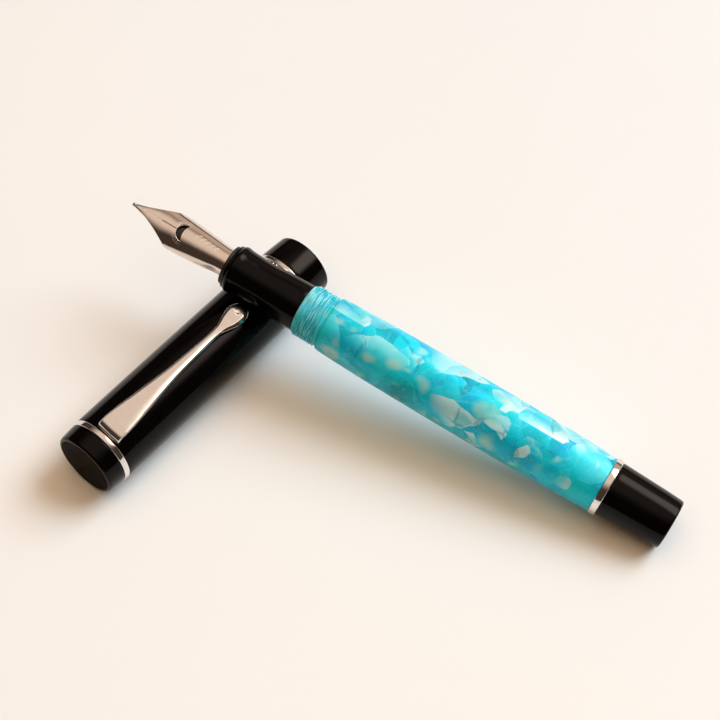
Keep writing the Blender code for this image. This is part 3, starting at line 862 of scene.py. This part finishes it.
# ------------------------------------------------------------------ converter
def converter():
    lathe("converter_mouth_shell", rounded([
        (38.7, 2.2), (38.7, 3.45, 0.15), (39.0, 3.6), (47.7, 3.6, 0.1), (48.2, 3.45),
        (48.2, 2.6), (51.0, 2.6), (51.0, 1.3), (44.4, 1.3), (44.4, 2.2)]),
        PEN, MATT, "converter", ["converter_mouth"], 96)
    lathe("converter_tube_shell", rounded([
        (48.25, 2.9), (48.25, 3.5, 0.1), (83.9, 3.5, 0.1), (83.9, 2.9)]),
        PEN, CLEAR, "converter", ["converter_tube"], 96)
    loop = [(84.0, 1.35), (84.0, 3.55), (84.3, 3.75)]
    for k in range(4):
        x = 86.0 + 0.6 * k
        loop += [(x, 3.75), (x + 0.12, 3.66), (x + 0.28, 3.66), (x + 0.4, 3.75)]
    loop += [(95.6, 3.75), (95.9, 3.66), (96.0, 3.5), (96.0, 3.0), (88.4, 3.0), (88.4, 1.35)]
    lathe("converter_ferrule_shell", loop, PEN, CHROME, "converter", ["converter_ferrule"],
          96)
    knob = rounded([(88.7, 1.35), (88.7, 2.7), (96.3, 2.7), (96.3, 3.2, 0.05), (96.6, 3.45, 0.1)], False)
    ribs = [(96.9 + 12.3 * k / 24, 3.45) for k in range(25)]
    first = len(knob)
    loop = knob + ribs + [(109.6, 3.4), (109.9, 3.25), (110.0, 3.0), (110.0, 0.0), (109.2, 0.0), (109.2, 1.35)]

    def radial(i, x, r, a):
        if first + 1 < i < first + 23:
            return r - 0.14 * (0.5 + 0.5 * math.cos(24 * a)) ** 2
        return r

    lathe("converter_knob_shell", loop, PEN, MATT, "knob", ["converter_knob"],
          192, radial, 40)
    lathe("converter_piston_shell", rounded([
        (79.0, 0.0), (79.0, 1.6), (79.6, 2.58, 0.1), (80.4, 2.58, 0.1), (80.8, 2.3, 0.1),
        (81.8, 2.3, 0.1), (82.2, 2.58, 0.1), (83.05, 2.58, 0.1), (83.05, 0.0)]),
        PEN, RUBBER, "piston", ["converter_piston"], 72)
    rod = [(83.05, 0.0), (83.05, 1.0)] + [(83.4 + 25.0 * k / 240, 0.93) for k in range(241)] + [(108.7, 0.9), (108.7, 0.0)]

    def helix(i, x, r, a):
        if 2 <= i < 243:
            return r + 0.07 * (0.5 + 0.5 * math.cos(2 * (2 * math.pi * x / 4.4 * 1.0 - a)))
        return r

    lathe("converter_rod_shell", rod, PEN, MATT, "piston", ["converter_rod"],
          24, helix, 40)


# ------------------------------------------------------------------ cap
def cap():
    # finial with a flat end face
    side = catmull([(0.75, 7.19), (1.5, 7.25), (2.4, 7.31), (3.3, 7.36)], 4)
    lathe("cap_finial_shell", [(0.10, 0.0), (0.10, 3.0), (0.10, 6.34), (0.0, 6.42)]
          + rounded([(0.0, 6.42), (0.0, 6.85, 0.25), (0.35, 7.12, 0.2), (0.75, 7.19)], False)[1:-1]
          + side + rounded([(3.3, 7.36), (3.88, 7.37, 0.1), (3.96, 7.2), (3.96, 2.0)], False)[1:]
          + [(10.4, 2.0), (10.4, 0.0)],
          CAP, BLACK, "cap", ["cap_finial"], 160)
    # the turned end face is satin and set off by a fine groove
    lathe("cap_finial_face", [(0.0, 0.0), (0.0, 3.0), (0.0, 6.24), (0.05, 6.31), (0.10, 6.31),
                              (0.10, 0.0)], CAP, FACE, "cap", (), 160)
    lathe("cap_ring_bright", rounded([
        (3.96, 2.3), (3.96, 7.55, 0.28), (5.27, 7.55, 0.28), (5.27, 2.3)]),
        CAP, CHROME, "cap", ["cap_ring"], 160)
    cap_tube()
    lathe("cap_inner_shell", rounded([
        (8.8, 2.3), (8.8, 5.85, 0.3), (41.3, 5.85, 0.3), (41.3, 4.75, 0.2), (10.8, 4.75, 0.5),
        (10.8, 2.3)]), CAP, MATT, "cap", ["cap_inner_cap"], 96)
    band()
    lathe("cap_lip_shell", rounded([(59.42, 6.6), (59.42, 7.20, 0.06), (59.7, 7.24, 0.06)], False)[:-1]
          + catmull([(60.1, 7.24), (61.8, 7.17), (63.5, 7.08), (65.4, 6.95)], 5)
          + rounded([(65.4, 6.95), (66.0, 6.92, 0.25), (66.3, 6.66, 0.12), (66.3, 6.36, 0.1),
                     (66.05, 6.15, 0.1), (65.5, 6.15)], False)[1:]
          + [(62.5, 6.15), (62.3, 6.15), (62.3, 6.6)],
          CAP, BLACK, "cap", ["cap_lip"], 160)
    clip()


def cap_tube():
    outline = [(5.29, 7.30), (5.34, 7.40), (5.5, 7.50), (5.9, 7.55)] + catmull([
        (6.9, 7.555), (13.0, 7.57), (24.0, 7.56), (34.0, 7.55), (44.0, 7.50), (53.2, 7.465)], 4)
    loop = outline + [(53.75, 7.44), (53.9, 7.38), (53.95, 7.2), (53.95, 6.55), (62.2, 6.55),
                      (62.2, 6.15)]
    x = 61.6
    first = len(loop)
    while x > 54.0:          # cap thread inside the mouth
        loop.append((x, 6.15))
        x -= 0.14
    last = len(loop)
    loop += [(53.0, 6.15), (8.5, 6.15), (8.5, 2.3), (5.29, 2.3)]

    def radial(i, x, r, a):
        if first <= i < last:
            return r - 0.16 * max(0.0, math.cos(2 * math.pi * (x / 0.84 + a / (2 * math.pi)))) + 0.02
        return r

    obj = lathe("cap_tube_shell", loop, CAP, BLACK, "cap", ["cap_tube"], 160, radial, 34)
    # slot for the clip's foot
    m = rolled(CAP, CLIP_TURN)
    size = [(4.4, -3.02, 6.25), (7.04, 3.02, 8.6)]
    (x0, y0, z0), (x1, y1, z1) = size
    v = [(x, y, z) for x in (x0, x1) for y in (y0, y1) for z in (z0, z1)]
    f = [(0, 1, 3, 2), (4, 6, 7, 5), (0, 4, 5, 1), (2, 3, 7, 6), (0, 2, 6, 4), (1, 5, 7, 3)]
    mesh = bpy.data.meshes.new("slot_cutter")
    mesh.from_pydata([(a * MM, b * MM, c * MM) for a, b, c in v], [], f)
    cutter = bpy.data.objects.new("slot_cutter", mesh)
    bpy.context.scene.collection.objects.link(cutter)
    cutter.matrix_world = m
    bm = bmesh.new()
    bm.from_mesh(mesh)
    bmesh.ops.recalc_face_normals(bm, faces=bm.faces)
    bm.to_mesh(mesh)
    bm.free()
    mod = obj.modifiers.new("slot", "BOOLEAN")
    mod.operation = "DIFFERENCE"
    mod.solver = "EXACT"
    mod.object = cutter
    bpy.context.view_layer.update()
    dg = bpy.context.evaluated_depsgraph_get()
    new = bpy.data.meshes.new_from_object(obj.evaluated_get(dg))
    obj.modifiers.clear()
    obj.data = new
    new.shade_smooth()
    new.set_sharp_from_angle(angle=math.radians(34))
    bpy.data.objects.remove(cutter)


def band():
    """Bright band with a rolled border and a repeating engraved lattice."""
    s0, s1 = 53.98, 59.4
    rows = rounded([(s0, 6.6), (s0, 7.50, 0.12), (s0 + 0.55, 7.52, 0.1)], False)[:-1]
    k0 = len(rows)
    steps = 46
    for k in range(steps + 1):
        rows.append((s0 + 0.55 + (s1 - s0 - 1.1) * k / steps, 7.50))
    k1 = len(rows)
    rows += rounded([(s1 - 0.55, 7.52), (s1, 7.50, 0.12), (s1, 6.6)], False)[1:]
    a0, a1 = s0 + 0.55, s1 - 0.55
    count = 26

    def radial(i, x, r, a):
        if not k0 <= i < k1:
            return r
        f = (x - a0) / (a1 - a0)
        if f < 0.07 or f > 0.93:
            return r - 0.10
        if f < 0.13 or f > 0.87:
            return r + 0.01
        g = (f - 0.13) / 0.74
        u = a * count / (2 * math.pi)
        u = u - math.floor(u)
        # lattice of crossing waves with a bead in each eye
        w1 = abs(g - (0.5 + 0.42 * math.sin(2 * math.pi * u)))
        w2 = abs(g - (0.5 - 0.42 * math.sin(2 * math.pi * u)))
        line = max(0.0, 1 - min(w1, w2) / 0.10)
        du = min(abs(u - 0.25), abs(u - 0.75)) * (2 * math.pi * 7.5 / count)
        dg = (g - 0.5) * (a1 - a0) * 0.74
        bead = max(0.0, 1 - math.hypot(du, dg) / 0.42)
        return r - 0.13 + 0.12 * min(1.0, line * 1.8) + 0.11 * min(1.0, bead * 1.6)

    lathe("cap_band_engraved", rows, CAP, BAND, "cap", ["cap_band"],
          520, radial, 50)


CLIP_PATH = [(6.15, 6.50), (6.15, 6.90), (6.15, 7.30), (6.20, 7.75), (6.40, 8.12), (6.78, 8.38),
             (7.40, 8.49), (8.8, 8.54), (10.5, 8.58), (13.6, 8.64), (18.8, 8.72), (24.5, 8.77),
             (30.8, 8.79), (35.2, 8.78), (37.2, 8.79), (39.0, 8.81), (40.8, 8.85), (42.2, 8.90),
             (43.6, 8.96), (45.50, 9.04)]
# s, half width, thickness, width of the sloping wall
CLIP_WIDTH = [(6.0, 2.80, 1.20, 0.20), (7.6, 2.83, 1.12, 0.24), (10.5, 2.66, 1.10, 0.30),
              (13.6, 2.35, 1.10, 0.32), (18.8, 1.80, 1.10, 0.32), (24.5, 1.23, 1.10, 0.30),
              (30.8, 0.93, 1.10, 0.28), (35.2, 0.78, 1.10, 0.28), (37.2, 0.86, 1.10, 0.32),
              (38.9, 1.27, 1.10, 0.46), (40.6, 1.88, 1.08, 0.60), (42.2, 2.19, 1.05, 0.72),
              (42.8, 2.20, 1.04, 0.74), (46.0, 2.20, 0.95, 0.74)]


def clip():
    """Sprung arm: a strip built round its outline, with a teardrop at the free end."""
    path = catmull(CLIP_PATH, 8)
    acc = [0.0]
    for a, b in zip(path, path[1:]):
        acc.append(acc[-1] + math.hypot(b[0] - a[0], b[1] - a[1]))
    total = acc[-1]

    def at(d):
        d = min(max(d, 0.0), total)
        i = max(0, min(len(acc) - 2, int(np.searchsorted(acc, d)) - 1))
        f = (d - acc[i]) / (acc[i + 1] - acc[i])
        a, b = path[i], path[i + 1]
        way = Vector((b[0] - a[0], b[1] - a[1])).normalized()
        # smooth the direction over neighbours
        c = path[min(len(path) - 1, i + 2)]
        way2 = Vector((c[0] - a[0], c[1] - a[1])).normalized()
        way = (way * (1 - f) + way2 * f).normalized()
        return a[0] + (b[0] - a[0]) * f, a[1] + (b[1] - a[1]) * f, way

    end_r = 2.20
    d_centre = total - end_r - 0.55
    left = []
    d = 0.0
    while d < d_centre - 1e-6:
        s_here = at(d)[0]
        left.append((d, table_at(CLIP_WIDTH, s_here)[0]))
        d += 0.22 if s_here < 8.0 else 0.45
    stations = [((d, 0.0), (d, -w)) for d, w in left]
    fan = 26
    w_end = table_at(CLIP_WIDTH, at(d_centre)[0])[0]
    for k in range(fan + 1):
        a = -math.pi / 2 + math.pi * k / fan
        # a slightly drawn-out half oval
        stations.append(((d_centre, 0.0),
                         (d_centre + (end_r + 0.55) * math.cos(a), w_end * math.sin(a))))
    stations += [((d, 0.0), (d, w)) for d, w in reversed(left)]
    verts, faces, rows = [], [], []
    for (md, mx), (od, ox) in stations:
        reach = math.hypot(od - md, ox - mx)
        s_here = at(md if md < d_centre - 1e-6 else od)[0]
        _, thick, wall = table_at(CLIP_WIDTH, s_here)
        wall = min(wall, reach * 0.72)
        h = thick / 2
        drop = min(0.62 * thick, wall * 0.80)
        flat = reach - wall
        columns = [(0.0, -h), (reach - 0.05, -h), (reach, -h + 0.05), (reach, h - drop - 0.04),
                   (reach - 0.035, h - drop), (reach - 0.09, h - drop + 0.02)]
        columns += [(flat + 0.52 * (wall - 0.09), h - drop * 0.53), (flat + 0.05, h - 0.055), (flat, h - 0.012)]
        level = min(1.0, max(0.0, (s_here - 31.0) / 6.0))
        crown = (0.018 + 0.056 * flat) * (1 - level) + 0.002
        for f in (0.94, 0.82, 0.66, 0.48, 0.30, 0.14, 0.0):
            columns.append((flat * f, h + crown * (1 - f * f)))
        row = []
        for q, z in columns:
            dd = md + (od - md) * (q / reach)
            xx = mx + (ox - mx) * (q / reach)
            sx, rx, way = at(dd)
            row.append(len(verts))
            verts.append((sx - way.y * z, xx, rx + way.x * z))
        rows.append(row)
    for a, b in zip(rows, rows[1:]):
        for k in range(len(a) - 1):
            faces.append([a[k], a[k + 1], b[k + 1], b[k]])
    # the foot, where both sides of the strip meet
    faces.append(rows[0] + list(reversed(rows[-1])))
    make("clip_arm", verts, faces, rolled(CAP, CLIP_TURN), CHROME, "clip", ["clip"],
         28)


# ------------------------------------------------------------------ stage
def stage():
    n = Nodes("table_look")
    v = n.coords(1.0)
    cloud = n.noise(v, 9.0, 3, 0.55).outputs["Fac"]
    col = n.mix(cloud, (*rgb(232, 228, 224), 1), (*rgb(237, 233, 229), 1))
    n.bump(n.noise(v, 900.0, 3, 0.6).outputs["Fac"], 0.04, 0.0002)
    mat = n.set(Base_Color=col, Roughness=0.45)
    mesh = bpy.data.meshes.new("floor")
    s = 6.0
    mesh.from_pydata([(-s, -s, 0), (s, -s, 0), (s, s, 0), (-s, s, 0)], [], [(0, 1, 2, 3)])
    mesh.materials.append(mat)
    floor = bpy.data.objects.new("floor", mesh)
    bpy.context.scene.collection.objects.link(floor)


def area(name, pos, target, size, power, colour, size_y=None, spread=180):
    light = bpy.data.lights.new(name, "AREA")
    light.shape = "RECTANGLE" if size_y else "SQUARE"
    light.size = size
    if size_y:
        light.size_y = size_y
    light.energy = power
    light.color = colour
    light.spread = math.radians(spread)
    obj = bpy.data.objects.new(name, light)
    bpy.context.scene.collection.objects.link(obj)
    obj.location = pos
    obj.rotation_euler = (Vector(target) - Vector(pos)).to_track_quat("-Z", "Y").to_euler()
    return obj


FILL = 6.7


DAY = 19.4


def room():
    """Dim warm room with a tall soft window beyond the cap's mouth."""
    world = bpy.data.worlds.new("room")
    bpy.context.scene.world = world
    world.use_nodes = True
    nt = world.node_tree
    bg = nt.nodes["Background"]
    bg.inputs["Strength"].default_value = 1.0
    tex = nt.nodes.new("ShaderNodeTexCoord")

    def vm(op, a, b=None, scale=None):
        node = nt.nodes.new("ShaderNodeVectorMath")
        node.operation = op
        for sock, val in ((node.inputs[0], a), (node.inputs[1], b)):
            if val is None:
                continue
            if isinstance(val, bpy.types.NodeSocket):
                nt.links.new(val, sock)
            else:
                sock.default_value = val
        if scale is not None:
            if isinstance(scale, bpy.types.NodeSocket):
                nt.links.new(scale, node.inputs["Scale"])
            else:
                node.inputs["Scale"].default_value = scale
        return node.outputs["Value"] if op in ("DOT_PRODUCT", "LENGTH") else node.outputs["Vector"]

    ray = vm("NORMALIZE", tex.outputs["Generated"])

    def patch(azimuth, elevation, half_w, half_h, soft):
        """1 inside a soft oval; azimuth from +Y towards +X, all in degrees."""
        az, el = math.radians(azimuth), math.radians(elevation)
        c = Vector((math.sin(az) * math.cos(el), math.cos(az) * math.cos(el), math.sin(el)))
        right = Vector((math.cos(az), -math.sin(az), 0.0))
        up = right.cross(c)
        x = vm("DOT_PRODUCT", ray, tuple(right / math.sin(math.radians(half_w))))
        y = vm("DOT_PRODUCT", ray, tuple(up / math.sin(math.radians(half_h))))
        z = vm("DOT_PRODUCT", ray, tuple(c))
        comb = nt.nodes.new("ShaderNodeCombineXYZ")
        nt.links.new(x, comb.inputs[0])
        nt.links.new(y, comb.inputs[1])
        away = nt.nodes.new("ShaderNodeMath")
        away.operation = "LESS_THAN"
        nt.links.new(z, away.inputs[0])
        away.inputs[1].default_value = 0.0
        back = nt.nodes.new("ShaderNodeMath")
        back.operation = "MULTIPLY"
        nt.links.new(away.outputs[0], back.inputs[0])
        back.inputs[1].default_value = 100.0
        nt.links.new(back.outputs[0], comb.inputs[2])
        d = vm("LENGTH", comb.outputs[0])
        m = nt.nodes.new("ShaderNodeMapRange")
        m.interpolation_type = "SMOOTHSTEP"
        nt.links.new(d, m.inputs["Value"])
        m.inputs["From Min"].default_value = 1.0 + soft
        m.inputs["From Max"].default_value = max(0.0, 1.0 - soft)
        return m.outputs["Result"]

    total = None
    for colour, shape in ROOM:
        if shape is None:
            total = colour
            continue
        term = vm("SCALE", colour, scale=patch(*shape))
        total = vm("ADD", total, term)
    nt.links.new(total, bg.inputs["Color"])


ROOM = [
    ((0.055, 0.036, 0.026), None),
    ((0.74, 0.58, 0.47), (0, 84, 34, 32, 0.5)),
    ((0.50, 0.37, 0.28), (-5, 26, 30, 16, 0.6)),
    ((5.0, 4.3, 3.8), (34, 47, 19, 16, 0.4)),
]


def camera_and_lights():
    turn = Matrix.Rotation(math.radians(29.0747), 3, "Z")
    right = turn @ Vector((0.99977714, 0.01769253, 0.01151686))
    up = turn @ Vector((-0.02111075, 0.83789489, 0.54542323))
    fwd = turn @ Vector((0.0, 0.54554481, -0.83808166))
    m = Matrix((right, up, -fwd)).transposed().to_4x4()
    m.translation = PEN.translation + Vector((0.15965, -0.18950, 0.31795))
    cam_data = bpy.data.cameras.new("photo_camera")
    cam_data.sensor_width = 36.0
    cam_data.lens = 1929.12 / 720.0 * 36.0
    cam_data.clip_start = 0.01
    cam = bpy.data.objects.new("photo_camera", cam_data)
    bpy.context.scene.collection.objects.link(cam)
    cam.matrix_world = m
    bpy.context.scene.camera = cam

    # broad soft fill from overhead; the window itself is part of the room
    fill = area("fill", (0.05, -0.10, 1.1), (0, 0, 0), 1.5, FILL, (1.0, 0.69, 0.38))
    fill.visible_glossy = False
    # the part of the daylight that the polished faces do not show
    az, el = math.radians(34), math.radians(47)
    way = Vector((math.sin(az) * math.cos(el), math.cos(az) * math.cos(el), math.sin(el)))
    day = area("day", tuple(way * 1.6), (0, 0, 0), 1.10, DAY, (0.38, 0.73, 1.0), 0.92)
    day.visible_glossy = False
    room()
    bpy.context.scene.view_settings.view_transform = "Standard"
    bpy.context.scene.view_settings.look = "None"
    bpy.context.scene.view_settings.exposure = 0.0


camera_and_lights()
stage()
pen_shell()
grip()
nib_unit()
converter()
cap()
